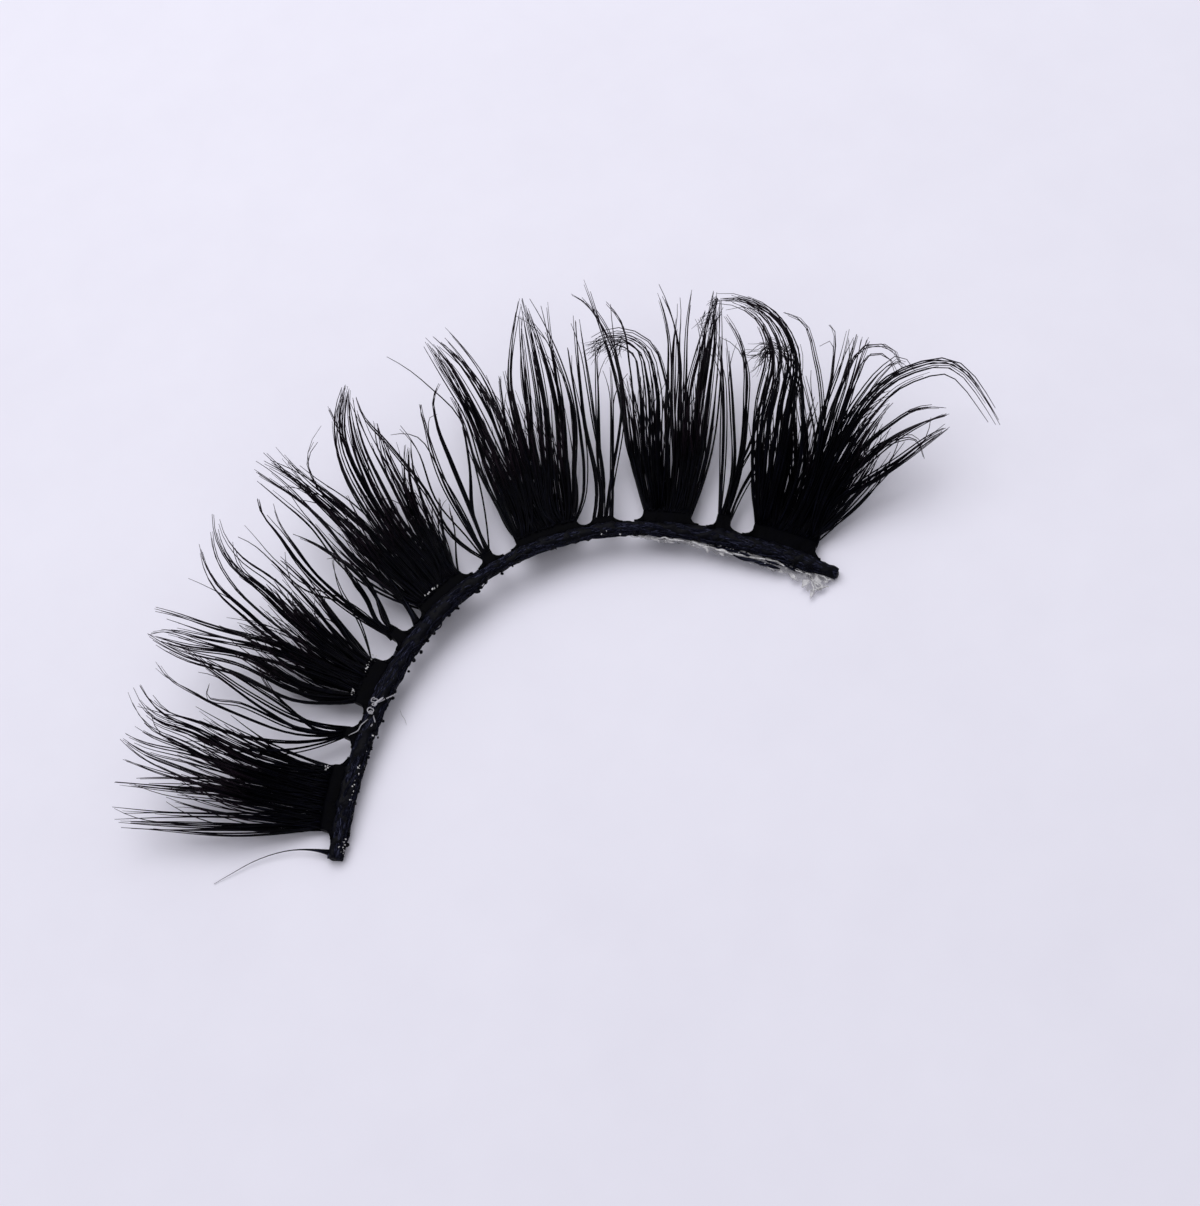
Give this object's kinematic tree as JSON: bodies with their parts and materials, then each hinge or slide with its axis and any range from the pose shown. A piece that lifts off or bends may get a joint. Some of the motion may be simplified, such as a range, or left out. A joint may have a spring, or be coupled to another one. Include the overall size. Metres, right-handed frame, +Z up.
{
  "type": "false eyelash strip",
  "caption": "Curved black strip lash: a thread band with dense flared clusters of long curled fibre, thin wisps between them and dried lid glue under one end.",
  "frame": {"origin": "on the surface that the strip lies on, below the middle of the whole strip's box", "axes": "+X along the chord between the band's two ends, +Y from the band towards the lash tips, +Z up from that surface"},
  "size_m": [0.0438, 0.0204, 0.007],
  "materials": {
    "band_thread": "black twisted thread under a skin of glue, half matt",
    "lash_fibre": "fine black synthetic fibre, satin to glossy",
    "dried_glue": "dried clear glue film, creased, whitish"
  },
  "bodies": {
    "root": {"band": "band_thread", "cluster_1": "lash_fibre", "cluster_2": "lash_fibre", "cluster_3": "lash_fibre", "cluster_4": "lash_fibre", "cluster_5": "lash_fibre", "cluster_6": "lash_fibre", "wisp_1": "lash_fibre", "wisp_2": "lash_fibre", "wisp_3": "lash_fibre", "wisp_4": "lash_fibre", "wisp_5": "lash_fibre", "glue_film": "dried_glue"}
  },
  "joints": []
}
